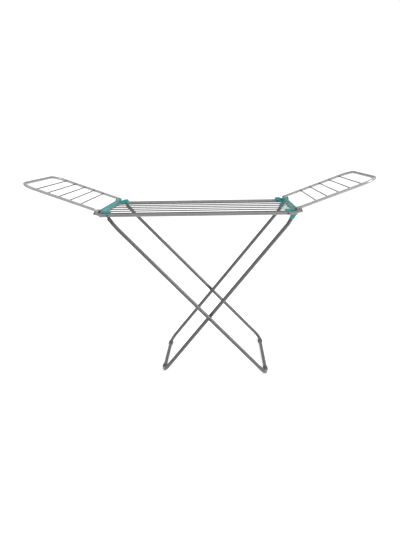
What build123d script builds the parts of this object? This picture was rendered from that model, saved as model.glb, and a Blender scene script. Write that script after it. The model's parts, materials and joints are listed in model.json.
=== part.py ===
from build123d import *
from math import atan2, cos, degrees, hypot, radians, sin
import os

# Free-standing folding clothes drying rack: a wired panel between two rails, two raised wings,
# and two crossed U-shaped leg frames. X runs along the rails, Y from front to back, Z up.
# The origin is on the floor, under the middle of the panel. Millimetres.

# Tubes and wires
TUBE_R = 8.0
TUBE_WALL = 0.9
TUBE_BORE_R = TUBE_R - TUBE_WALL
LEG_R = 10.0
LEG_BORE_R = LEG_R - TUBE_WALL
WIRE_R = 3.0
WIRE_SEAT = 1.0

# Rivets and the gaps between pieces
RIVET_R = 3.0
RIVET_HEAD_R = 5.5
RIVET_HEAD_T = 2.0
PIVOT_HEAD_R = 6.5
DRILL_REACH = 12.0
RUN_GAP = 0.06
FACE_GAP = 0.3

# Panel
RAIL_Z = 900.0
RAIL_Y = 275.0
RAIL_STRAIGHT_X = 484.0
RAIL_TIP = 42.0
RAIL_TIP_ANGLE = 16.0
RAIL_BEND_R = 40.0
END_TUBE_X = 500.0
END_TUBE_HALF = 262.6
PANEL_WIRES = 6

# Moulded plugs in the rail tips
CAP_STEM = 14.0
CAP_HEAD = 8.0
CAP_LIP = 0.8
CAP_ROUND = 5.0

# Hinges between the panel and the wings
HINGE_Z = 921.0
HINGE_BAR_R = 8.0
HINGE_BAR_WALL = 1.8
HINGE_BAR_HOLLOW_Y = 240.0
HINGE_BAR_ROUND = 1.2
HINGE_WEB_T = 8.0
HINGE_WEB_LOW = 907.4
HINGE_WEB_HALF = 225.0
ROD_CAP_R = 6.4
ROD_CAP_T = 4.0
HINGE_ROD_HALF = 273.0
BRACKET_IN_Y = 249.5
BRACKET_OUT_Y = 266.6
BRACKET_WALL = 2.5
BRACKET_CORNER_R = 9.0
BRACKET_SHOULDER_X = 467.0
BRACKET_END_X = 455.0
BRACKET_TOP_Z = 913.0
BRACKET_LOW_Z = 899.0
BRACKET_ROUND = 1.5
BRACKET_RIVET_X = 461.0

# Steel plates that hang the outer leg frame from the left brackets
HANGER_T = 3.0
HANGER_R = 8.0

# Wings
WING_ANGLE = 20.0
WING_LENGTH = 423.0
WING_CORNER_R = 75.0
WING_WIRES = 5
WING_FIRST_WIRE = 109.0
WING_WIRE_PITCH = 59.0

# Crossed legs: each frame's straight line is given by its X at rail height and at foot height
OUTER_Y = 275.0
INNER_Y = 238.0
FOOT_Z = 12.6
OUTER_TOP_X = -480.0
OUTER_FOOT_X = 363.0
INNER_TOP_X = 516.0
INNER_FOOT_X = -208.0
OUTER_PIVOT_X = -455.0
OUTER_PIVOT_Z = 880.0
OUTER_BEND_Z = 825.0
INNER_BEND_Z = 838.0
LEG_BEND_R = 60.0
LEG_CORNER_R = 45.0
SPACER_R = 10.0

# Pressed-flat tube ends
FLAT_T = 3.0
FLAT_Y = 6.6
FLAT_RUN = 12.0
FLARE_RUN = 16.0
FLAT_CORNER_R = 1.35
WING_FLAT_HALF = 9.0
LEG_FLAT_HALF = 10.0
FLAT_OUT_Y = RAIL_Y - FLAT_Y + FLAT_T / 2

# Clips on the inner leg frame that cradle the right end tube
HOOK_W = 17.0
HOOK_IN_R = 8.3
HOOK_OUT_R = 14.0
HOOK_SHELF = 11.0
HOOK_CUT = 30.0
COLLAR_START = 10.0
COLLAR_LENGTH = 24.0
COLLAR_WIDTH = 24.0
COLLAR_CORNER_R = 3.0
HOOK_STEM_LENGTH = 26.0
HOOK_RIVET_AT = 48.0
HOOK_RIVET_R = 2.0
HOOK_RIVET_HEAD_R = 3.6
HOOK_RIVET_HEAD_T = 1.2
LEG_TUBE_START = COLLAR_START + COLLAR_LENGTH

# Feet
FOOT_R = 13.8
FOOT_LENGTH = 27.0
FOOT_ROUND = 1.5
FOOT_GROOVES = (-7.5, 0.0, 7.5)
GROOVE_WIDTH = 1.6
GROOVE_DEPTH = 0.8
OUTER_FOOT_Y = 200.0
INNER_FOOT_Y = 170.0

ALONG_Y = (0, 1, 0)
SIDES = {"left": -1, "right": 1}
DEPTHS = {"front": -1, "back": 1}

os.makedirs("parts", exist_ok=True)


def line_x(top_x, foot_x, z):
    """X of a leg frame's straight line at a height."""
    return top_x + (foot_x - top_x) * (RAIL_Z - z) / (RAIL_Z - FOOT_Z)


def cross_point():
    """Where the two leg frames' lines cross, as X and Z."""
    top_gap = INNER_TOP_X - OUTER_TOP_X
    foot_gap = OUTER_FOOT_X - INNER_FOOT_X
    z = RAIL_Z - (RAIL_Z - FOOT_Z) * top_gap / (top_gap + foot_gap)
    return line_x(OUTER_TOP_X, OUTER_FOOT_X, z), z


def toward(start, end):
    """Unit vector in the XZ plane from one (x, z) to another."""
    dx = end[0] - start[0]
    dz = end[1] - start[1]
    return Vector(dx / hypot(dx, dz), 0, dz / hypot(dx, dz))


def save(piece, label):
    """Name a finished piece and write it."""
    piece.part.label = label
    export_step(piece.part, f"parts/{label}.step")


def add_disc(x, z, y_from, y_to, radius, mode=Mode.ADD):
    """Round bar along Y between two depths."""
    with BuildSketch(Plane(origin=(x, y_from, z), x_dir=(1, 0, 0), z_dir=ALONG_Y)) as disc:
        Circle(radius)
    extrude(disc.sketch, amount=y_to - y_from, mode=mode)


def add_rod(origin, heading, start, length, radius, mode=Mode.ADD):
    """Round bar along any heading, from a distance past its origin."""
    with BuildSketch(Plane(origin=origin + heading * start, z_dir=heading)) as disc:
        Circle(radius)
    extrude(disc.sketch, amount=length, mode=mode)


def add_tube(points, radii, tube_r=TUBE_R):
    """Bent round tube along straight runs joined by tangent arcs."""
    with BuildLine() as route:
        FilletPolyline(*points, radius=radii)
    with BuildSketch(Plane(origin=route.line @ 0, z_dir=route.line % 0)) as ring:
        Circle(tube_r)
        Circle(tube_r - TUBE_WALL, mode=Mode.SUBTRACT)
    sweep(ring.sketch, path=route.wires()[0])


def add_flat_end(eye, heading, tube_y, side, half_width, tube_r=TUBE_R):
    """Pressed-flat tube end with a drilled round eye, flaring back into the round tube."""
    flat_y = side * (tube_y - FLAT_Y)
    eye_plane = Plane(origin=(eye[0], flat_y, eye[1]), x_dir=heading, z_dir=ALONG_Y)
    with BuildSketch(eye_plane) as blade:
        Circle(half_width)
        with Locations((FLAT_RUN / 2, 0)):
            Rectangle(FLAT_RUN, 2 * half_width)
        Circle(RIVET_R + RUN_GAP, mode=Mode.SUBTRACT)
    extrude(blade.sketch, amount=FLAT_T / 2, both=True)
    near = Vector(eye[0], flat_y, eye[1]) + heading * FLAT_RUN
    far = Vector(eye[0], side * tube_y, eye[1]) + heading * (FLAT_RUN + FLARE_RUN)
    with BuildSketch(Plane(origin=near, x_dir=ALONG_Y, z_dir=heading)) as pressed:
        RectangleRounded(FLAT_T, 2 * half_width, FLAT_CORNER_R)
    with BuildSketch(Plane(origin=far, x_dir=ALONG_Y, z_dir=heading)) as round_end:
        Circle(tube_r)
    loft([pressed.sketch.face(), round_end.sketch.face()])


def add_plate(circles, right, back, y_from, y_to, mode=Mode.ADD):
    """Flat plate wrapped tightly round circles (x, z, radius), between two distances from the middle."""
    with BuildSketch(Plane(origin=(0, back * y_from, 0), x_dir=(1, 0, 0), z_dir=(0, back, 0))) as outline:
        for x, z, radius in circles:
            with Locations((right * x, -back * z)):
                Circle(radius)
        make_hull()
    extrude(outline.sketch, amount=y_to - y_from, mode=mode)


def in_wing(side, along, y=0.0):
    """Point at a distance out along a raised wing, on the tube centre plane."""
    x = side * (END_TUBE_X + along * cos(radians(WING_ANGLE)))
    z = HINGE_Z + along * sin(radians(WING_ANGLE))
    return Vector(x, y, z)


# ---- Panel: rails, end tubes, wires ----

TIP_X = RAIL_STRAIGHT_X + RAIL_TIP * cos(radians(RAIL_TIP_ANGLE))
TIP_Z = RAIL_Z + RAIL_TIP * sin(radians(RAIL_TIP_ANGLE))

for depth, back in DEPTHS.items():
    rail_y = back * RAIL_Y
    rail_points = [
        (-TIP_X, rail_y, TIP_Z),
        (-RAIL_STRAIGHT_X, rail_y, RAIL_Z),
        (RAIL_STRAIGHT_X, rail_y, RAIL_Z),
        (TIP_X, rail_y, TIP_Z),
    ]
    with BuildPart() as rail:
        add_tube(rail_points, RAIL_BEND_R)
        for right in SIDES.values():
            hole_x = right * BRACKET_RIVET_X
            add_disc(hole_x, RAIL_Z, rail_y - DRILL_REACH, rail_y + DRILL_REACH, RIVET_R, Mode.SUBTRACT)
    save(rail, f"rail_{depth}")

for side, right in SIDES.items():
    with BuildPart() as end_tube:
        add_disc(right * END_TUBE_X, RAIL_Z, -END_TUBE_HALF, END_TUBE_HALF, TUBE_R)
        add_disc(right * END_TUBE_X, RAIL_Z, -RAIL_Y, RAIL_Y, TUBE_BORE_R, Mode.SUBTRACT)
    save(end_tube, f"end_tube_{side}")

wire_pitch = 2 * RAIL_Y / (PANEL_WIRES + 1)
for number in range(1, PANEL_WIRES + 1):
    wire_y = -RAIL_Y + number * wire_pitch
    with BuildPart() as panel_wire:
        with BuildSketch(Plane.YZ):
            with Locations((wire_y, RAIL_Z)):
                Circle(WIRE_R)
        extrude(amount=END_TUBE_X - TUBE_R + WIRE_SEAT, both=True)
        for right in SIDES.values():
            add_disc(right * END_TUBE_X, RAIL_Z, wire_y - TUBE_R, wire_y + TUBE_R, TUBE_R, Mode.SUBTRACT)
    save(panel_wire, f"panel_wire_{number}")

# End plugs: a domed bumper outside the tube and a stem inside it
for side, right in SIDES.items():
    for depth, back in DEPTHS.items():
        tip = Vector(right * TIP_X, back * RAIL_Y, TIP_Z)
        tip_heading = toward((right * RAIL_STRAIGHT_X, RAIL_Z), (right * TIP_X, TIP_Z))
        with BuildPart() as rail_cap:
            add_rod(tip, tip_heading, -CAP_STEM, CAP_STEM + CAP_HEAD / 2, TUBE_BORE_R)
            add_rod(tip, tip_heading, 0, CAP_HEAD, TUBE_R + CAP_LIP)
            fillet(rail_cap.edges().sort_by(Axis(tuple(tip), tuple(tip_heading)))[-1], CAP_ROUND)
        save(rail_cap, f"rail_cap_{depth}_{side}")

# ---- Hinge brackets, hinge rods and hinge bars ----
# Each hinge bar has a web underneath, saddled over the end tube

bracket_block = [
    (END_TUBE_X, RAIL_Z, TUBE_R + BRACKET_WALL),
    (BRACKET_SHOULDER_X, BRACKET_TOP_Z, BRACKET_CORNER_R),
    (BRACKET_END_X, BRACKET_TOP_Z, BRACKET_CORNER_R),
    (BRACKET_END_X, BRACKET_LOW_Z, BRACKET_CORNER_R),
]
bracket_lug = [
    (END_TUBE_X, RAIL_Z, TUBE_R + BRACKET_WALL),
    (END_TUBE_X, HINGE_Z, HINGE_BAR_R),
]
hanger_eyes = [(-BRACKET_RIVET_X, RAIL_Z), (OUTER_PIVOT_X, OUTER_PIVOT_Z)]

for side, right in SIDES.items():
    for depth, back in DEPTHS.items():
        inner_y = back * BRACKET_IN_Y
        outer_y = back * BRACKET_OUT_Y
        with BuildPart() as bracket:
            add_plate(bracket_block, right, back, BRACKET_IN_Y, BRACKET_OUT_Y)
            add_plate(bracket_lug, right, back, BRACKET_IN_Y, BRACKET_OUT_Y)
            outline = bracket.faces().filter_by(Axis.Y).edges()
            fillet(outline, BRACKET_ROUND)
            if side == "left":
                pocket = [(x, z, HANGER_R + FACE_GAP) for x, z in hanger_eyes]
                pocket_floor = BRACKET_OUT_Y - HANGER_T - FACE_GAP
                add_plate(pocket, 1, back, pocket_floor, BRACKET_OUT_Y, Mode.SUBTRACT)
            end_x = right * END_TUBE_X
            rivet_x = right * BRACKET_RIVET_X
            add_disc(end_x, RAIL_Z, inner_y, back * END_TUBE_HALF, TUBE_R, Mode.SUBTRACT)
            add_disc(end_x, HINGE_Z, inner_y, outer_y, RIVET_R, Mode.SUBTRACT)
            add_disc(rivet_x, RAIL_Z, inner_y, outer_y, RIVET_R, Mode.SUBTRACT)
        save(bracket, f"hinge_bracket_{depth}_{side}")

# Hanger plates: held by the bracket rivet above, carrying the outer leg's pivot below
for depth, back in DEPTHS.items():
    with BuildPart() as hanger:
        plate = [(x, z, HANGER_R) for x, z in hanger_eyes]
        add_plate(plate, 1, back, BRACKET_OUT_Y - HANGER_T, BRACKET_OUT_Y)
        for eye_x, eye_z in hanger_eyes:
            add_disc(eye_x, eye_z, back * BRACKET_IN_Y, back * RAIL_Y, RIVET_R, Mode.SUBTRACT)
    save(hanger, f"leg_hanger_{depth}")

for side, right in SIDES.items():
    with BuildPart() as hinge_rod:
        add_disc(right * END_TUBE_X, HINGE_Z, -HINGE_ROD_HALF, HINGE_ROD_HALF, RIVET_R)
    save(hinge_rod, f"hinge_rod_{side}")
    with BuildPart() as hinge_bar:
        bar_x = right * END_TUBE_X
        bore_r = HINGE_BAR_R - HINGE_BAR_WALL
        add_disc(bar_x, HINGE_Z, -BRACKET_IN_Y, BRACKET_IN_Y, HINGE_BAR_R)
        fillet(hinge_bar.edges().filter_by(GeomType.CIRCLE), HINGE_BAR_ROUND)
        with Locations((bar_x, 0, (HINGE_Z + HINGE_WEB_LOW) / 2)):
            Box(HINGE_WEB_T, 2 * HINGE_WEB_HALF, HINGE_Z - HINGE_WEB_LOW)
        saddle_r = TUBE_R + FACE_GAP
        add_disc(bar_x, RAIL_Z, -BRACKET_IN_Y, BRACKET_IN_Y, saddle_r, Mode.SUBTRACT)
        add_disc(bar_x, HINGE_Z, -HINGE_BAR_HOLLOW_Y, HINGE_BAR_HOLLOW_Y, bore_r, Mode.SUBTRACT)
        add_disc(bar_x, HINGE_Z, -RAIL_Y, RAIL_Y, RIVET_R, Mode.SUBTRACT)
    save(hinge_bar, f"hinge_bar_{side}")

with BuildPart() as rod_caps:
    for right in SIDES.values():
        for back in DEPTHS.values():
            cap_from = FLAT_OUT_Y + FACE_GAP
            cap_x = right * END_TUBE_X
            rod_end = back * HINGE_ROD_HALF
            add_disc(cap_x, HINGE_Z, back * cap_from, back * (cap_from + ROD_CAP_T), ROD_CAP_R)
            add_disc(cap_x, HINGE_Z, back * cap_from, rod_end, RIVET_R, Mode.SUBTRACT)
save(rod_caps, "hinge_rod_caps")

with BuildPart() as bracket_rivets:
    for right in SIDES.values():
        for back in DEPTHS.values():
            rivet_x = right * BRACKET_RIVET_X
            inner_head = back * BRACKET_IN_Y
            outer_head = back * (RAIL_Y + TUBE_R)
            add_disc(rivet_x, RAIL_Z, inner_head, outer_head, RIVET_R)
            add_disc(rivet_x, RAIL_Z, inner_head - back * RIVET_HEAD_T, inner_head, RIVET_HEAD_R)
            add_disc(rivet_x, RAIL_Z, outer_head, outer_head + back * RIVET_HEAD_T, RIVET_HEAD_R)
save(bracket_rivets, "bracket_rivets")

with BuildPart() as leg_pivot_rivets:
    for back in DEPTHS.values():
        inner_head = back * (BRACKET_OUT_Y - HANGER_T)
        outer_head = back * (FLAT_OUT_Y + FACE_GAP)
        add_disc(OUTER_PIVOT_X, OUTER_PIVOT_Z, inner_head, outer_head, RIVET_R)
        add_disc(OUTER_PIVOT_X, OUTER_PIVOT_Z, inner_head - back * RIVET_HEAD_T, inner_head, RIVET_HEAD_R)
        add_disc(OUTER_PIVOT_X, OUTER_PIVOT_Z, outer_head, outer_head + back * RIVET_HEAD_T, PIVOT_HEAD_R)
save(leg_pivot_rivets, "leg_pivot_rivets")

# ---- Wings ----

for side, right in SIDES.items():
    wing_heading = toward((right * END_TUBE_X, HINGE_Z), (in_wing(right, 1).X, in_wing(right, 1).Z))
    tube_start = FLAT_RUN + FLARE_RUN
    wing_points = [
        in_wing(right, tube_start, -RAIL_Y),
        in_wing(right, WING_LENGTH, -RAIL_Y),
        in_wing(right, WING_LENGTH, RAIL_Y),
        in_wing(right, tube_start, RAIL_Y),
    ]
    with BuildPart() as wing_frame:
        add_tube(wing_points, WING_CORNER_R)
        for back in DEPTHS.values():
            add_flat_end((right * END_TUBE_X, HINGE_Z), wing_heading, RAIL_Y, back, WING_FLAT_HALF)
    save(wing_frame, f"wing_frame_{side}")

    for number in range(1, WING_WIRES + 1):
        centre = in_wing(right, WING_FIRST_WIRE + (number - 1) * WING_WIRE_PITCH)
        with BuildPart() as wing_wire:
            wire_end = RAIL_Y - TUBE_R + WIRE_SEAT
            add_disc(centre.X, centre.Z, -wire_end, wire_end, WIRE_R)
            for back in DEPTHS.values():
                side_tube = Vector(centre.X, back * RAIL_Y, centre.Z)
                add_rod(side_tube, wing_heading, -TUBE_R, 2 * TUBE_R, TUBE_R, Mode.SUBTRACT)
        save(wing_wire, f"wing_wire_{side}_{number}")

# ---- Leg frames ----

CROSS_X, CROSS_Z = cross_point()
outer_bend = (line_x(OUTER_TOP_X, OUTER_FOOT_X, OUTER_BEND_Z), OUTER_BEND_Z)
outer_heading = toward((OUTER_PIVOT_X, OUTER_PIVOT_Z), outer_bend)
outer_start = Vector(OUTER_PIVOT_X, 0, OUTER_PIVOT_Z) + outer_heading * (FLAT_RUN + FLARE_RUN)
outer_line = toward(outer_bend, (OUTER_FOOT_X, FOOT_Z))
with BuildPart() as outer_leg:
    outer_points = [
        (outer_start.X, -OUTER_Y, outer_start.Z),
        (outer_bend[0], -OUTER_Y, outer_bend[1]),
        (OUTER_FOOT_X, -OUTER_Y, FOOT_Z),
        (OUTER_FOOT_X, OUTER_Y, FOOT_Z),
        (outer_bend[0], OUTER_Y, outer_bend[1]),
        (outer_start.X, OUTER_Y, outer_start.Z),
    ]
    add_tube(outer_points, [LEG_BEND_R, LEG_CORNER_R, LEG_CORNER_R, LEG_BEND_R], LEG_R)
    for back in DEPTHS.values():
        near_y = back * (OUTER_Y - DRILL_REACH)
        far_y = back * (OUTER_Y + DRILL_REACH)
        pivot = (OUTER_PIVOT_X, OUTER_PIVOT_Z)
        add_flat_end(pivot, outer_heading, OUTER_Y, back, LEG_FLAT_HALF, LEG_R)
        add_disc(CROSS_X, CROSS_Z, near_y, far_y, RIVET_R, Mode.SUBTRACT)
save(outer_leg, "leg_frame_outer")

inner_bend = (line_x(INNER_TOP_X, INNER_FOOT_X, INNER_BEND_Z), INNER_BEND_Z)
inner_heading = toward((END_TUBE_X, RAIL_Z), inner_bend)
inner_start = Vector(END_TUBE_X, 0, RAIL_Z) + inner_heading * LEG_TUBE_START
with BuildPart() as inner_leg:
    inner_points = [
        (inner_start.X, -INNER_Y, inner_start.Z),
        (inner_bend[0], -INNER_Y, inner_bend[1]),
        (INNER_FOOT_X, -INNER_Y, FOOT_Z),
        (INNER_FOOT_X, INNER_Y, FOOT_Z),
        (inner_bend[0], INNER_Y, inner_bend[1]),
        (inner_start.X, INNER_Y, inner_start.Z),
    ]
    add_tube(inner_points, [LEG_BEND_R, LEG_CORNER_R, LEG_CORNER_R, LEG_BEND_R], LEG_R)
    hook_rivet = Vector(END_TUBE_X, 0, RAIL_Z) + inner_heading * HOOK_RIVET_AT
    for back in DEPTHS.values():
        near_y = back * (INNER_Y - DRILL_REACH)
        far_y = back * (INNER_Y + DRILL_REACH)
        add_disc(CROSS_X, CROSS_Z, near_y, far_y, RIVET_R + RUN_GAP, Mode.SUBTRACT)
        add_disc(hook_rivet.X, hook_rivet.Z, near_y, far_y, HOOK_RIVET_R, Mode.SUBTRACT)
save(inner_leg, "leg_frame_inner")

# Spacers and rivets where the frames cross
for depth, back in DEPTHS.items():
    spacer_from = back * (INNER_Y + LEG_R + FACE_GAP)
    with BuildPart() as spacer:
        add_disc(CROSS_X, CROSS_Z, spacer_from, back * (OUTER_Y - LEG_R / 2), SPACER_R)
        centre = Vector(CROSS_X, back * OUTER_Y, CROSS_Z)
        add_rod(centre, outer_line, -2 * SPACER_R, 4 * SPACER_R, LEG_R, Mode.SUBTRACT)
        add_disc(CROSS_X, CROSS_Z, back * INNER_Y, back * OUTER_Y, RIVET_R, Mode.SUBTRACT)
    save(spacer, f"cross_spacer_{depth}")

with BuildPart() as cross_rivets:
    for back in DEPTHS.values():
        inner_head = back * (INNER_Y - LEG_R - FACE_GAP)
        outer_head = back * (OUTER_Y + LEG_R)
        add_disc(CROSS_X, CROSS_Z, inner_head, outer_head, RIVET_R)
        add_disc(CROSS_X, CROSS_Z, inner_head - back * RIVET_HEAD_T, inner_head, PIVOT_HEAD_R)
        add_disc(CROSS_X, CROSS_Z, outer_head, outer_head + back * RIVET_HEAD_T, PIVOT_HEAD_R)
save(cross_rivets, "cross_rivets")

# Cradle hooks on the inner frame: open towards the right, with a level shelf under the end tube
# and a deep collar that runs down onto the leg
stem_angle = degrees(atan2(inner_heading.Z, inner_heading.X))
for depth, back in DEPTHS.items():
    hook_y = back * INNER_Y
    hook_plane = Plane(origin=(END_TUBE_X, hook_y, RAIL_Z), x_dir=(1, 0, 0), z_dir=(0, -1, 0))
    stem_origin = Vector(END_TUBE_X, hook_y, RAIL_Z)
    with BuildPart() as hook:
        with BuildSketch(hook_plane):
            Circle(HOOK_OUT_R)
            with Locations((HOOK_SHELF / 2, -(HOOK_IN_R + HOOK_OUT_R) / 2)):
                Rectangle(HOOK_SHELF, HOOK_OUT_R - HOOK_IN_R)
            with PolarLocations(COLLAR_START + COLLAR_LENGTH / 2, 1, start_angle=stem_angle):
                RectangleRounded(COLLAR_LENGTH, COLLAR_WIDTH, COLLAR_CORNER_R)
            Circle(HOOK_IN_R, mode=Mode.SUBTRACT)
            with BuildLine():
                Polyline(
                    (0, 0),
                    (-HOOK_CUT, HOOK_CUT),
                    (HOOK_CUT, HOOK_CUT),
                    (HOOK_CUT, -HOOK_IN_R),
                    (0, -HOOK_IN_R),
                    close=True,
                )
            make_face(mode=Mode.SUBTRACT)
        extrude(amount=HOOK_W / 2, both=True)
        add_rod(stem_origin, inner_heading, LEG_TUBE_START - COLLAR_CORNER_R, HOOK_STEM_LENGTH, LEG_BORE_R)
        near_y = hook_y - DRILL_REACH
        far_y = hook_y + DRILL_REACH
        add_disc(hook_rivet.X, hook_rivet.Z, near_y, far_y, HOOK_RIVET_R, Mode.SUBTRACT)
    save(hook, f"leg_hook_{depth}")

with BuildPart() as hook_rivets:
    for back in DEPTHS.values():
        near_y = back * (INNER_Y - LEG_R)
        far_y = back * (INNER_Y + LEG_R)
        add_disc(hook_rivet.X, hook_rivet.Z, near_y, far_y, HOOK_RIVET_R)
        add_disc(hook_rivet.X, hook_rivet.Z, near_y - back * HOOK_RIVET_HEAD_T, near_y, HOOK_RIVET_HEAD_R)
        add_disc(hook_rivet.X, hook_rivet.Z, far_y, far_y + back * HOOK_RIVET_HEAD_T, HOOK_RIVET_HEAD_R)
save(hook_rivets, "hook_rivets")

# ---- Rubber feet: sleeves round the crossbars, cut flat on the floor ----

foot_places = {
    "outer": (OUTER_FOOT_X, OUTER_FOOT_Y),
    "inner": (INNER_FOOT_X, INNER_FOOT_Y),
}
for frame_name, (foot_x, foot_y) in foot_places.items():
    for depth, back in DEPTHS.items():
        centre_y = back * foot_y
        with BuildPart() as foot:
            add_disc(foot_x, FOOT_Z, centre_y - FOOT_LENGTH / 2, centre_y + FOOT_LENGTH / 2, FOOT_R)
            fillet(foot.edges().filter_by(GeomType.CIRCLE), FOOT_ROUND)
            for groove in FOOT_GROOVES:
                groove_y = centre_y + groove - GROOVE_WIDTH / 2
                with BuildSketch(Plane(origin=(foot_x, groove_y, FOOT_Z), z_dir=ALONG_Y)) as ring:
                    Circle(FOOT_R + GROOVE_DEPTH)
                    Circle(FOOT_R - GROOVE_DEPTH, mode=Mode.SUBTRACT)
                extrude(ring.sketch, amount=GROOVE_WIDTH, mode=Mode.SUBTRACT)
            add_disc(foot_x, FOOT_Z, centre_y - FOOT_LENGTH, centre_y + FOOT_LENGTH, LEG_R, Mode.SUBTRACT)
            split(bisect_by=Plane.XY, keep=Keep.TOP)
        save(foot, f"foot_{frame_name}_{depth}")
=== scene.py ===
import json
import math

import bmesh
import bpy
from mathutils import Matrix, Vector, noise


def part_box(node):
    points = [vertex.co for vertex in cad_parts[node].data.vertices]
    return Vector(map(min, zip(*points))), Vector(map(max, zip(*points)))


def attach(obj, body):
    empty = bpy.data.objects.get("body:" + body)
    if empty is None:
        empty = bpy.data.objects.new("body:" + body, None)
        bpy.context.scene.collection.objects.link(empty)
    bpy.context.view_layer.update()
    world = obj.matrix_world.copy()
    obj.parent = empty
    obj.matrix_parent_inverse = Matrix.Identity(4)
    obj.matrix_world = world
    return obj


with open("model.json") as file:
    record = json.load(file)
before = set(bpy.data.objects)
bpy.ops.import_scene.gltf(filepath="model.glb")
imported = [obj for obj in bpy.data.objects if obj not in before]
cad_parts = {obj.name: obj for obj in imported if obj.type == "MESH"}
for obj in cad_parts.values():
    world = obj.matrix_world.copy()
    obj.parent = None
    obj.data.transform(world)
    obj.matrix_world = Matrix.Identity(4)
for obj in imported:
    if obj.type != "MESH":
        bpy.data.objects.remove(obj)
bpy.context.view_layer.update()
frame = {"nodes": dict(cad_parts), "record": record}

SIDES = {"left": -1, "right": 1}
DEPTHS = {"front": -1, "back": 1}
X_AXIS = Vector((1, 0, 0))
Y_AXIS = Vector((0, 1, 0))
Z_AXIS = Vector((0, 0, 1))

# Real sizes of the round stock and fasteners, in metres
TUBE_R = 0.008
LEG_R = 0.010
WIRE_R = 0.003
BAR_R = 0.008
FOOT_R = 0.0138
HOOK_HALF_WIDTH = 0.0085
BRACKET_BLOCK_HEIGHT = 0.0325
RAIL_TIP_LEAN = math.radians(16)
CAP_CENTRE_DROP = 0.0085
BRACKET_RIVET_R = 0.0055
HOOK_RIVET_R = 0.0036
PIVOT_RIVET_R = 0.0065
ROD_CAP_R = 0.0064
PANEL_WIRES = 6
WING_WIRES = 5

# Weld beads: how far one spreads, and how deep its edge and its root sink
WELD_SIZE = 0.0017
WELD_EDGE_SINK = 0.0003
WELD_ROOT_SINK = 0.0004

# Rivet domes, a little smaller than the flat heads under them
DOME_FIT = 0.96
HEAD_DOME_HEIGHT = 0.0013
PIVOT_DOME_HEIGHT = 0.0014
HOOK_DOME_HEIGHT = 0.0009

# Hinge brackets: ribs across the top, ribs beside the rivet, and the boss round it
BRACKET_RIB_WIDTH = 0.0018
BRACKET_RIB_HEIGHT = 0.0009
TOP_RIB_PLACES = (0.009, 0.015, 0.021)
TOP_RIB_LENGTH = 0.011
FACE_RIB_REACH = 0.0105
FACE_RIB_LENGTH = 0.017
BOSS_SINK = 0.0005
BOSS_GAP = 0.0002
BOSS_RISE = 0.0017
BOSS_LENGTH = 0.0014
BOSS_ROUND = 0.0004

# Hinge bars: end collars as (distance in from the end, rise, width, rounding), and parting ridges
BAR_COLLARS = ((0.0085, 0.0011, 0.008, 0.0007), (0.0125, 0.0006, 0.002, 0.0004))
BAR_COLLAR_SINK = 0.0008
RIDGE_TILT = 0.35
RIDGE_SINK = 0.0001
RIDGE_MARGIN = 0.03
RIDGE_WIDTH = 0.0011
RIDGE_HEIGHT = 0.0005

# Hooks: the lip of the socket that holds the leg, and the ribs on the collar's faces
SOCKET_START = 0.0325
SOCKET_SINK = 0.0006
SOCKET_RISE = 0.0016
SOCKET_LENGTH = 0.006
SOCKET_ROUND = 0.0008
HOOK_RIB_PLACES = (-0.0065, 0.0, 0.0065)
HOOK_RIB_MIDDLE = 0.0225
HOOK_RIB_LENGTH = 0.0165
HOOK_RIB_WIDTH = 0.0017
HOOK_RIB_HEIGHT = 0.0008

# Grip rings on the rail plugs
CAP_RING_PLACES = (0.0062, 0.0042)
CAP_RING_SINK = 0.0002
CAP_RING_RISE = 0.0013
CAP_RING_WIDTH = 0.0011
CAP_RING_ROUND = 0.0004

# Treads on the feet, placed every so many degrees round each sleeve
TREAD_TURNS = range(-20, 201, 20)
TREAD_OFFSETS = (-0.00375, 0.00375)
TREAD_SINK = 0.0001
TREAD_LENGTH = 0.0046
TREAD_WIDTH = 0.0016
TREAD_HEIGHT = 0.0006

JOINTS = {joint["name"]: joint for joint in frame["record"]["behaviour"]["joints"]}


# ---- Node material helpers ----


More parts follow.
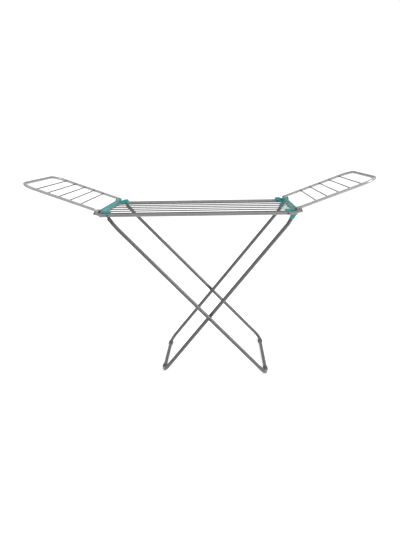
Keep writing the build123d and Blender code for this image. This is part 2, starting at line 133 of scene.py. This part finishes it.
class Shader:
    """A procedural material with a few shorthand calls for its nodes."""

    def __init__(self, name):
        self.material = bpy.data.materials.new(name)
        self.material.use_nodes = True
        self.nodes = self.material.node_tree.nodes
        self.links = self.material.node_tree.links
        self.surface = self.nodes["Principled BSDF"]
        self.position = self.nodes.new("ShaderNodeTexCoord").outputs["Object"]

    def set(self, **values):
        for label, value in values.items():
            self.surface.inputs[label.replace("_", " ")].default_value = value

    def link(self, source, target):
        self.links.new(source, self.surface.inputs[target])

    def noise(self, scale, detail=2.0, rough=0.5, stretch=None):
        texture = self.nodes.new("ShaderNodeTexNoise")
        texture.inputs["Scale"].default_value = scale
        texture.inputs["Detail"].default_value = detail
        texture.inputs["Roughness"].default_value = rough
        coordinates = self.position
        if stretch:
            mapping = self.nodes.new("ShaderNodeMapping")
            mapping.inputs["Scale"].default_value = stretch
            self.links.new(self.position, mapping.inputs["Vector"])
            coordinates = mapping.outputs["Vector"]
        self.links.new(coordinates, texture.inputs["Vector"])
        return texture.outputs["Fac"]

    def spots(self, scale):
        texture = self.nodes.new("ShaderNodeTexVoronoi")
        texture.inputs["Scale"].default_value = scale
        self.links.new(self.position, texture.inputs["Vector"])
        return texture.outputs["Distance"]

    def ramp(self, source, low, high, low_value=0.0, high_value=1.0):
        node = self.nodes.new("ShaderNodeMapRange")
        node.inputs["From Min"].default_value = low
        node.inputs["From Max"].default_value = high
        node.inputs["To Min"].default_value = low_value
        node.inputs["To Max"].default_value = high_value
        self.links.new(source, node.inputs["Value"])
        return node.outputs["Result"]

    def height(self):
        separate = self.nodes.new("ShaderNodeSeparateXYZ")
        self.links.new(self.position, separate.inputs["Vector"])
        return separate.outputs["Z"]

    def mix(self, factor, first, second):
        node = self.nodes.new("ShaderNodeMix")
        node.data_type = "RGBA"
        self.links.new(factor, node.inputs["Factor"])
        for value, socket in ((first, node.inputs["A"]), (second, node.inputs["B"])):
            if isinstance(value, tuple):
                socket.default_value = (*value, 1.0)
            else:
                self.links.new(value, socket)
        return node.outputs["Result"]

    def multiply(self, first, second):
        node = self.nodes.new("ShaderNodeMath")
        node.operation = "MULTIPLY"
        self.links.new(first, node.inputs[0])
        self.links.new(second, node.inputs[1])
        return node.outputs["Value"]

    def bump(self, layers):
        """Stacks (height, strength, distance) layers into the surface normal."""
        below = None
        for source, strength, distance in layers:
            node = self.nodes.new("ShaderNodeBump")
            node.inputs["Strength"].default_value = strength
            node.inputs["Distance"].default_value = distance
            self.links.new(source, node.inputs["Height"])
            if below is not None:
                self.links.new(below, node.inputs["Normal"])
            below = node.outputs["Normal"]
        self.link(below, "Normal")


def coated_tube(name, base, rough, metallic=0.55):
    """Grey powder coat over steel: orange peel, metal flake, faint handling scuffs, dulled low down."""
    dark = tuple(0.84 * c for c in base)
    light = tuple(1.18 * c for c in base)
    scuffed = tuple(0.62 * c for c in base)
    shader = Shader(name)
    cloud = shader.noise(7.0, 3.0)
    flake = shader.noise(2600.0, 1.0)
    scuff = shader.ramp(shader.noise(60.0, 5.0, 0.62, (1.0, 1.0, 0.5)), 0.6, 0.72)
    dust = shader.ramp(shader.height(), 0.16, 0.0, 0.0, 0.4)
    dusty = shader.multiply(dust, shader.noise(140.0, 4.0))
    color = shader.mix(cloud, dark, light)
    color = shader.mix(shader.ramp(flake, 0.35, 0.7, 0.0, 0.3), color, base)
    color = shader.mix(shader.ramp(scuff, 0.0, 1.0, 0.0, 0.35), color, scuffed)
    color = shader.mix(dusty, color, (0.2, 0.19, 0.175))
    shader.link(color, "Base Color")
    shader.set(Metallic=metallic, Coat_Weight=0.25, Coat_Roughness=0.18)
    shader.link(shader.ramp(shader.noise(35.0, 4.0), 0.3, 0.7, rough - 0.06, rough + 0.08), "Roughness")
    shader.bump([(shader.noise(620.0, 2.0), 0.22, 0.0002), (flake, 0.1, 0.0001), (scuff, 0.25, 0.0001)])
    return shader.material


def moulded_plastic(name, base, dark, light, rough_low, rough_high, worn):
    """Injection-moulded plastic: fine spark-eroded grain, slow flow marks, rubbed pale patches."""
    shader = Shader(name)
    flow = shader.noise(24.0, 3.0, 0.55, (1.0, 0.35, 1.0))
    grain = shader.noise(1900.0, 2.0)
    rub = shader.ramp(shader.noise(130.0, 6.0, 0.65), 0.58, 0.76, 0.0, 0.4)
    color = shader.mix(flow, dark, light)
    color = shader.mix(shader.ramp(grain, 0.4, 0.65, 0.0, 0.25), color, base)
    color = shader.mix(rub, color, worn)
    shader.link(color, "Base Color")
    shader.set(Specular_IOR_Level=0.5, Coat_Weight=0.06, Coat_Roughness=0.25)
    shader.link(shader.ramp(shader.noise(70.0, 4.0), 0.3, 0.7, rough_low, rough_high), "Roughness")
    shader.bump([(grain, 0.25, 0.0001), (flow, 0.12, 0.0004)])
    return shader.material


def rubber():
    """Dark rubber with a matte skin, fine pitting and floor dust towards the ground."""
    shader = Shader("foot_rubber")
    pits = shader.spots(900.0)
    patch = shader.noise(90.0, 4.0)
    dust = shader.multiply(shader.ramp(shader.height(), 0.016, 0.0, 0.05, 0.8), patch)
    color = shader.mix(patch, (0.07, 0.072, 0.077), (0.12, 0.122, 0.128))
    color = shader.mix(dust, color, (0.16, 0.15, 0.135))
    shader.link(color, "Base Color")
    shader.link(shader.ramp(patch, 0.3, 0.7, 0.72, 0.92), "Roughness")
    shader.bump([(pits, 0.3, 0.0002), (shader.noise(320.0, 3.0), 0.3, 0.0003)])
    return shader.material


def plated_steel(name, base, dark):
    """Zinc-plated steel: cloudy passivation, fine tool scratches, grime in the roughest patches."""
    shader = Shader(name)
    cloud = shader.noise(180.0, 4.0, 0.6)
    scratch = shader.noise(420.0, 3.0, 0.6, (0.12, 1.0, 1.0))
    color = shader.mix(cloud, dark, base)
    grime = shader.ramp(shader.noise(260.0, 5.0), 0.55, 0.75, 0.0, 0.6)
    color = shader.mix(grime, color, tuple(0.45 * c for c in dark))
    shader.link(color, "Base Color")
    shader.set(Metallic=0.85)
    shader.link(shader.ramp(scratch, 0.3, 0.7, 0.28, 0.55), "Roughness")
    shader.bump([(scratch, 0.3, 0.0001), (cloud, 0.15, 0.0002)])
    return shader.material


MATERIALS = {
    "grey_tube": coated_tube("grey_tube", (0.19, 0.188, 0.192), 0.34),
    # Painted shade: a darker copy of the rails' grey coat for the legs
    "leg_tube_painted_shade": coated_tube("leg_tube_painted_shade", (0.095, 0.094, 0.097), 0.38),
    # Painted light: a lighter copy of the same coat for the wings and end tubes
    "wing_tube_painted_light": coated_tube("wing_tube_painted_light", (0.31, 0.308, 0.313), 0.3),
    "grey_wire": coated_tube("grey_wire", (0.05, 0.0495, 0.051), 0.42, 0.3),
    "teal_plastic": moulded_plastic(
        "teal_plastic",
        base=(0.026, 0.23, 0.225),
        dark=(0.019, 0.18, 0.18),
        light=(0.038, 0.3, 0.295),
        rough_low=0.26,
        rough_high=0.4,
        worn=(0.1, 0.36, 0.355),
    ),
    "grey_cap": moulded_plastic(
        "grey_cap",
        base=(0.13, 0.13, 0.136),
        dark=(0.095, 0.095, 0.1),
        light=(0.17, 0.17, 0.178),
        rough_low=0.42,
        rough_high=0.58,
        worn=(0.27, 0.27, 0.28),
    ),
    "black_plastic": moulded_plastic(
        "black_plastic",
        base=(0.03, 0.03, 0.034),
        dark=(0.02, 0.02, 0.022),
        light=(0.045, 0.045, 0.05),
        rough_low=0.4,
        rough_high=0.56,
        worn=(0.12, 0.12, 0.12),
    ),
    "rivet_steel": plated_steel("rivet_steel", (0.12, 0.12, 0.125), (0.06, 0.06, 0.065)),
    "foot_rubber": rubber(),
}

# The legs get a darker copy of the rails' grey coat as painted shade; the wings and end tubes get a lighter
# copy as painted light
TUBE_COATS = {"leg_frame": "leg_tube_painted_shade", "wing_frame": "wing_tube_painted_light", "end_tube": "wing_tube_painted_light"}

for part in frame["record"]["subparts"]:
    node = frame["nodes"][part["node"]]
    node.data.materials.clear()
    look = part["material_slot"]
    for start, coat in TUBE_COATS.items():
        if part["node"].startswith(start):
            look = coat
    node.data.materials.append(MATERIALS[look])


# ---- Mesh pieces that finish the frame ----


def node_box(node):
    """A CAD node's lowest and highest corners as vectors."""
    low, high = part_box(node)
    return Vector(low), Vector(high)


def make_piece(name, mesh_code, body, slot):
    """Turns a bmesh into a smooth-shaded piece that rides on a body."""
    bmesh.ops.recalc_face_normals(mesh_code, faces=mesh_code.faces)
    mesh = bpy.data.meshes.new(name)
    mesh_code.to_mesh(mesh)
    mesh_code.free()
    mesh.shade_smooth()
    piece = bpy.data.objects.new(name, mesh)
    bpy.context.collection.objects.link(piece)
    mesh.materials.append(MATERIALS[slot])
    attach(piece, body)


def add_rings(mesh_code, rings, closed_loop=False):
    """Skins a run of equal rings of points, and caps both ends unless the run closes on itself."""
    rows = [[mesh_code.verts.new(point) for point in ring] for ring in rings]
    count = len(rows[0])
    pairs = list(zip(rows, rows[1:]))
    if closed_loop:
        pairs.append((rows[-1], rows[0]))
    for first, second in pairs:
        for k in range(count):
            after = (k + 1) % count
            mesh_code.faces.new((first[k], first[after], second[after], second[k]))
    if not closed_loop:
        mesh_code.faces.new(rows[0])
        mesh_code.faces.new(rows[-1])


def add_lathe(mesh_code, base, axis, profile, segments=28):
    """Turns (height, radius) pairs round an axis into a closed solid."""
    across = axis.orthogonal().normalized()
    beside = axis.cross(across)
    rings = []
    for height, radius in profile:
        ring = []
        for k in range(segments):
            turn = 2 * math.pi * k / segments
            ring.append(base + axis * height + (across * math.cos(turn) + beside * math.sin(turn)) * radius)
        rings.append(ring)
    add_rings(mesh_code, rings)


def add_collar(mesh_code, base, axis, inner, outer, length, round_over, segments=40):
    """Open band round a bar, with rounded shoulders."""
    across = axis.orthogonal().normalized()
    beside = axis.cross(across)
    profile = [
        (0, inner),
        (0, outer - round_over),
        (0.3 * round_over, outer - 0.3 * round_over),
        (round_over, outer),
        (length - round_over, outer),
        (length - 0.3 * round_over, outer - 0.3 * round_over),
        (length, outer - round_over),
        (length, inner),
    ]
    rings = []
    for k in range(segments):
        turn = 2 * math.pi * k / segments
        spoke = across * math.cos(turn) + beside * math.sin(turn)
        rings.append([base + axis * height + spoke * radius for height, radius in profile])
    add_rings(mesh_code, rings, closed_loop=True)


def add_dome(mesh_code, centre, axis, radius, height):
    """Domed rivet head with a softly rolled edge and a small struck flat in the middle."""
    sink = 0.25 * height
    profile = [(-sink, 0.9 * radius), (0.02 * height, radius)]
    for step in range(1, 7):
        lean = 0.5 * math.pi * step / 7
        profile.append((height * math.sin(lean), radius * (0.22 + 0.78 * math.cos(lean))))
    profile.append((0.93 * height, 0.2 * radius))
    profile.append((0.9 * height, 0.1 * radius))
    add_lathe(mesh_code, centre, axis, profile)


def add_rib(mesh_code, centre, length, width, height, grain=4):
    """Raised moulding rib: a low ridge with drafted sides and rounded ends. Each size is a vector."""
    spine = []
    for k in range(-grain, grain + 1):
        along = k / grain
        swell = math.sqrt(max(0.0, 1 - abs(along) ** 6)) * 0.9 + 0.1
        spine.append((along, swell))
    rings = []
    for along, swell in spine:
        foot = centre + length * (0.5 * along)
        rings.append([
            foot - width * (0.5 * swell) - height * 0.4,
            foot - width * (0.36 * swell) + height * (0.75 * swell),
            foot - width * (0.15 * swell) + height * swell,
            foot + width * (0.15 * swell) + height * swell,
            foot + width * (0.36 * swell) + height * (0.75 * swell),
            foot + width * (0.5 * swell) - height * 0.4,
        ])
    add_rings(mesh_code, rings)


def add_weld(mesh_code, tube_centre, heading, tube_axis, seed):
    """Lumpy weld fillet where a wire meets a tube: a saddle-shaped ring round the wire."""
    beside = heading.cross(tube_axis)
    segments = 18
    rings = []
    for k in range(segments):
        turn = 2 * math.pi * k / segments
        spoke = tube_axis * math.cos(turn) + beside * math.sin(turn)
        lump = 1 + 0.3 * noise.noise(Vector((3 * math.cos(turn), 3 * math.sin(turn), 7.3 * seed)))
        bead = WELD_SIZE * lump
        ring = []
        profile = [
            (WIRE_R + bead, -WELD_EDGE_SINK),
            (WIRE_R + 0.42 * bead, 0.3 * bead),
            (WIRE_R + 0.1 * bead, 0.85 * bead),
            (WIRE_R - WELD_ROOT_SINK, bead),
            (WIRE_R - 1.5 * WELD_ROOT_SINK, -WELD_ROOT_SINK),
        ]
        for reach, rise in profile:
            off_axis = reach * math.sin(turn)
            surface = math.sqrt(TUBE_R ** 2 - off_axis ** 2)
            ring.append(tube_centre + heading * (surface + rise) + spoke * reach)
        rings.append(ring)
    add_rings(mesh_code, rings, closed_loop=True)


def panel_welds():
    """Beads at both ends of the long wires."""
    beads = bmesh.new()
    for number in range(1, PANEL_WIRES + 1):
        low, high = node_box(f"panel_wire_{number}")
        middle = (low + high) / 2
        for side, right in SIDES.items():
            tube_low, tube_high = node_box(f"end_tube_{side}")
            place = Vector(((tube_low.x + tube_high.x) / 2, middle.y, (tube_low.z + tube_high.z) / 2))
            add_weld(beads, place, X_AXIS * -right, Y_AXIS, number + 0.37 * right)
    make_piece("weld_beads_panel", beads, "panel", "grey_wire")


def wing_welds():
    """Beads at both ends of the cross wires of each wing."""
    for side in SIDES:
        hinge = Vector(JOINTS[f"{side}_wing_fold"]["pos_m"])
        frame_high = node_box(f"wing_frame_{side}")[1]
        beads = bmesh.new()
        for number in range(1, WING_WIRES + 1):
            low, high = node_box(f"wing_wire_{side}_{number}")
            middle = (low + high) / 2
            outward = (middle - hinge).normalized()
            for back in DEPTHS.values():
                place = Vector((middle.x, back * (frame_high.y - TUBE_R), middle.z))
                add_weld(beads, place, Y_AXIS * -back, outward, number + 0.61 * back)
        make_piece(f"weld_beads_{side}_wing", beads, f"{side}_wing", "grey_wire")


def rivet_domes():
    """Domed heads over the flat discs of every rivet and hinge rod cap."""
    on_panel = bmesh.new()
    for node, radius in (("bracket_rivets", BRACKET_RIVET_R), ("hinge_rod_caps", ROD_CAP_R)):
        low, high = node_box(node)
        for right in SIDES.values():
            for back in DEPTHS.values():
                head = Vector((right * (high.x - radius), back * high.y, (low.z + high.z) / 2))
                add_dome(on_panel, head, Y_AXIS * back, DOME_FIT * radius, HEAD_DOME_HEIGHT)
    head_y = node_box("leg_pivot_rivets")[1].y
    pivot = Vector(JOINTS["outer_leg_fold"]["pos_m"])
    for back in DEPTHS.values():
        head = Vector((pivot.x, back * head_y, pivot.z))
        add_dome(on_panel, head, Y_AXIS * back, DOME_FIT * PIVOT_RIVET_R, PIVOT_DOME_HEIGHT)
    make_piece("rivet_domes_panel", on_panel, "panel", "rivet_steel")

    low, high = node_box("cross_rivets")
    crossing = (low + high) / 2
    on_outer = bmesh.new()
    for back in DEPTHS.values():
        head = Vector((crossing.x, back * high.y, crossing.z))
        add_dome(on_outer, head, Y_AXIS * back, DOME_FIT * PIVOT_RIVET_R, PIVOT_DOME_HEIGHT)
    make_piece("rivet_domes_crossing", on_outer, "outer_legs", "rivet_steel")

    low, high = node_box("hook_rivets")
    leg_y = node_box("leg_frame_inner")[1].y - LEG_R
    reach = high.y - leg_y
    on_inner = bmesh.new()
    for back in DEPTHS.values():
        for outward in (-1, 1):
            head = Vector(((low.x + high.x) / 2, back * leg_y + outward * reach, (low.z + high.z) / 2))
            add_dome(on_inner, head, Y_AXIS * outward, DOME_FIT * HOOK_RIVET_R, HOOK_DOME_HEIGHT)
    make_piece("rivet_domes_hooks", on_inner, "inner_legs", "rivet_steel")


def bracket_ribs():
    """Stiffening ribs on the inner face and top of each hinge bracket, and a boss round its rivet."""
    rivet_low, rivet_high = node_box("bracket_rivets")
    rivet_z = (rivet_low.z + rivet_high.z) / 2
    across = X_AXIS * BRACKET_RIB_WIDTH
    for side, right in SIDES.items():
        for depth, back in DEPTHS.items():
            low, high = node_box(f"hinge_bracket_{depth}_{side}")
            inboard = low.x if right > 0 else high.x
            face_y = high.y if back < 0 else low.y
            top_z = low.z + BRACKET_BLOCK_HEIGHT
            rivet_x = right * (rivet_high.x - BRACKET_RIVET_R)
            ribs = bmesh.new()
            for place in TOP_RIB_PLACES:
                crest = Vector((inboard + right * place, (low.y + high.y) / 2, top_z))
                add_rib(ribs, crest, Y_AXIS * TOP_RIB_LENGTH, across, Z_AXIS * BRACKET_RIB_HEIGHT)
            for reach in (-FACE_RIB_REACH, FACE_RIB_REACH):
                foot = Vector((rivet_x + reach, face_y, low.z + 0.5 * BRACKET_BLOCK_HEIGHT))
                add_rib(ribs, foot, Z_AXIS * FACE_RIB_LENGTH, across, Y_AXIS * (-back * BRACKET_RIB_HEIGHT))
            boss = Vector((rivet_x, face_y + back * BOSS_SINK, rivet_z))
            boss_in = BRACKET_RIVET_R + BOSS_GAP
            boss_out = BRACKET_RIVET_R + BOSS_RISE
            add_collar(ribs, boss, Y_AXIS * -back, boss_in, boss_out, BOSS_LENGTH, BOSS_ROUND)
            make_piece(f"bracket_ribs_{depth}_{side}", ribs, "panel", "teal_plastic")


def hinge_bar_trim():
    """Moulded end collars and the two parting-line ridges along each hinge bar."""
    for side, right in SIDES.items():
        low, high = node_box(f"hinge_bar_{side}")
        centre = Vector(((low.x + high.x) / 2, (low.y + high.y) / 2, high.z - BAR_R))
        trim = bmesh.new()
        for back in DEPTHS.values():
            for inset, rise, width, rounding in BAR_COLLARS:
                start = Vector((centre.x, back * (high.y - inset), centre.z))
                add_collar(trim, start, Y_AXIS * back, BAR_R - BAR_COLLAR_SINK, BAR_R + rise, width, rounding)
        for up in (-1, 1):
            lean = (X_AXIS * right + Z_AXIS * RIDGE_TILT).normalized() * up
            ridge = centre + lean * (BAR_R - RIDGE_SINK)
            length = Y_AXIS * (2 * high.y - RIDGE_MARGIN)
            add_rib(trim, ridge, length, lean.cross(Y_AXIS) * RIDGE_WIDTH, lean * RIDGE_HEIGHT, grain=12)
        make_piece(f"hinge_bar_trim_{side}", trim, "panel", "teal_plastic")


def hook_trim():
    """Socket lip where each hook's collar meets the leg, and ribs down both faces of the collar."""
    rivet_low, rivet_high = node_box("hook_rivets")
    rivet = (rivet_low + rivet_high) / 2
    tube_low, tube_high = node_box("end_tube_right")
    cradle = (tube_low + tube_high) / 2
    down = Vector((rivet.x - cradle.x, 0, rivet.z - cradle.z)).normalized()
    side_on = down.cross(Y_AXIS)
    for depth in DEPTHS:
        low, high = node_box(f"leg_hook_{depth}")
        middle = Vector((cradle.x, (low.y + high.y) / 2, cradle.z))
        trim = bmesh.new()
        socket = middle + down * SOCKET_START
        add_collar(trim, socket, down, LEG_R - SOCKET_SINK, LEG_R + SOCKET_RISE, SOCKET_LENGTH, SOCKET_ROUND)
        for outward in (-1, 1):
            for place in HOOK_RIB_PLACES:
                face = middle + down * HOOK_RIB_MIDDLE + side_on * place
                face += Y_AXIS * (outward * HOOK_HALF_WIDTH)
                height = Y_AXIS * (outward * HOOK_RIB_HEIGHT)
                add_rib(trim, face, down * HOOK_RIB_LENGTH, side_on * HOOK_RIB_WIDTH, height)
        make_piece(f"hook_trim_{depth}", trim, "inner_legs", "teal_plastic")


def cap_trim():
    """Grip rings round the plugs in the rail tips."""
    for side, right in SIDES.items():
        heading = Vector((right * math.cos(RAIL_TIP_LEAN), 0, math.sin(RAIL_TIP_LEAN)))
        ring_in = TUBE_R - CAP_RING_SINK
        ring_out = TUBE_R + CAP_RING_RISE
        rings = bmesh.new()
        for depth in DEPTHS:
            low, high = node_box(f"rail_cap_{depth}_{side}")
            outer_x = high.x if right > 0 else low.x
            tip = Vector((outer_x, (low.y + high.y) / 2, high.z - CAP_CENTRE_DROP))
            for place in CAP_RING_PLACES:
                start = tip - heading * place
                add_collar(rings, start, heading, ring_in, ring_out, CAP_RING_WIDTH, CAP_RING_ROUND)
        make_piece(f"cap_rings_{side}", rings, "panel", "grey_cap")


def foot_treads():
    """Small tread bars between the grooves, round the upper side of each rubber foot."""
    for frame_name, body in (("outer", "outer_legs"), ("inner", "inner_legs")):
        treads = bmesh.new()
        for depth in DEPTHS:
            low, high = node_box(f"foot_{frame_name}_{depth}")
            middle = Vector(((low.x + high.x) / 2, (low.y + high.y) / 2, high.z - FOOT_R))
            for turn_deg in TREAD_TURNS:
                turn = math.radians(turn_deg)
                spoke = Vector((math.cos(turn), 0, math.sin(turn)))
                across = spoke.cross(Y_AXIS) * TREAD_WIDTH
                for offset in TREAD_OFFSETS:
                    place = middle + Y_AXIS * offset + spoke * (FOOT_R - TREAD_SINK)
                    add_rib(treads, place, Y_AXIS * TREAD_LENGTH, across, spoke * TREAD_HEIGHT)
        make_piece(f"foot_treads_{frame_name}", treads, body, "foot_rubber")


panel_welds()
wing_welds()
rivet_domes()
bracket_ribs()
hinge_bar_trim()
hook_trim()
cap_trim()
foot_treads()


# ---- Floor, light and camera ----

FLOOR_SIZE = 60.0
FLOOR_CENTRE = (0, 8, 0)
FLOOR_GLOW = 0.3
WALL_GLOW = 0.22
TOP_GLOW = 1.3
TOP_GLOW_FROM = 0.9
BACKDROP_GLOW = 1.1
WHITE = (1.0, 1.0, 1.0, 1.0)

# Name, place, target, size and power of each lamp
STUDIO_LAMPS = (
    ("key", (3.4, -1.8, 2.6), (0, 0, 0.8), 1.8, 120.0),
    ("fill", (-3.4, -3.0, 2.2), (0, 0, 0.6), 3.0, 20.0),
)

CAMERA_PLACE = (0.1278, -2.8188, 1.2661)
CAMERA_YAW = -0.0469
CAMERA_PITCH = 0.258
CAMERA_ROLL = 0.0206
FOCAL_TO_WIDTH = 1.2559


def studio_floor():
    """Plain white floor, bright enough to fade into the white background."""
    bpy.ops.mesh.primitive_plane_add(size=FLOOR_SIZE, location=FLOOR_CENTRE)
    floor = bpy.context.object
    floor.name = "studio_floor"
    paint = Shader("studio_floor")
    paint.link(paint.mix(paint.noise(0.6, 2.0), (0.9, 0.9, 0.9), (0.92, 0.92, 0.92)), "Base Color")
    paint.set(Roughness=0.9, Specular_IOR_Level=0.1, Emission_Color=WHITE, Emission_Strength=FLOOR_GLOW)
    floor.data.materials.append(paint.material)


def studio_world():
    """White backdrop for the camera; an overhead glow that dims towards the walls for everything else."""
    world = bpy.data.worlds.new("studio")
    world.use_nodes = True
    nodes = world.node_tree.nodes
    links = world.node_tree.links
    direction = nodes.new("ShaderNodeTexCoord")
    split = nodes.new("ShaderNodeSeparateXYZ")
    links.new(direction.outputs["Generated"], split.inputs["Vector"])
    ramp = nodes.new("ShaderNodeMapRange")
    ramp.interpolation_type = "SMOOTHSTEP"
    ramp.inputs["From Min"].default_value = 0.0
    ramp.inputs["From Max"].default_value = TOP_GLOW_FROM
    ramp.inputs["To Min"].default_value = WALL_GLOW
    ramp.inputs["To Max"].default_value = TOP_GLOW
    links.new(split.outputs["Z"], ramp.inputs["Value"])
    glow = nodes["Background"]
    glow.inputs["Color"].default_value = WHITE
    links.new(ramp.outputs["Result"], glow.inputs["Strength"])
    backdrop = nodes.new("ShaderNodeBackground")
    backdrop.inputs["Color"].default_value = WHITE
    backdrop.inputs["Strength"].default_value = BACKDROP_GLOW
    seen = nodes.new("ShaderNodeLightPath")
    choose = nodes.new("ShaderNodeMixShader")
    links.new(seen.outputs["Is Camera Ray"], choose.inputs["Fac"])
    links.new(glow.outputs["Background"], choose.inputs[1])
    links.new(backdrop.outputs["Background"], choose.inputs[2])
    links.new(choose.outputs["Shader"], nodes["World Output"].inputs["Surface"])
    bpy.context.scene.world = world


def studio_lights():
    """A large key from the upper right and a weak fill from the left."""
    for name, place, aim, size, power in STUDIO_LAMPS:
        light = bpy.data.lights.new(name, "AREA")
        light.size = size
        light.energy = power
        lamp = bpy.data.objects.new(name, light)
        lamp.location = place
        lamp.rotation_euler = (Vector(aim) - Vector(place)).to_track_quat("-Z", "Y").to_euler()
        bpy.context.collection.objects.link(lamp)


def photo_camera():
    """Camera at the photograph's place: above the lines, a little right of centre, looking slightly down."""
    aim_x = math.sin(CAMERA_YAW) * math.cos(CAMERA_PITCH)
    aim_y = math.cos(CAMERA_YAW) * math.cos(CAMERA_PITCH)
    forward = Vector((aim_x, aim_y, -math.sin(CAMERA_PITCH)))
    level = Vector((math.cos(CAMERA_YAW), -math.sin(CAMERA_YAW), 0))
    down = forward.cross(level)
    right = math.cos(CAMERA_ROLL) * level + math.sin(CAMERA_ROLL) * down
    up = math.sin(CAMERA_ROLL) * level - math.cos(CAMERA_ROLL) * down
    data = bpy.data.cameras.new("photo_camera")
    data.sensor_fit = "HORIZONTAL"
    data.lens = FOCAL_TO_WIDTH * data.sensor_width
    camera = bpy.data.objects.new("photo_camera", data)
    turn = Matrix((right, up, -forward)).transposed().to_4x4()
    camera.matrix_world = Matrix.Translation(CAMERA_PLACE) @ turn
    bpy.context.collection.objects.link(camera)
    bpy.context.scene.camera = camera


studio_floor()
studio_world()
studio_lights()
photo_camera()
bpy.context.scene.view_settings.view_transform = "Standard"
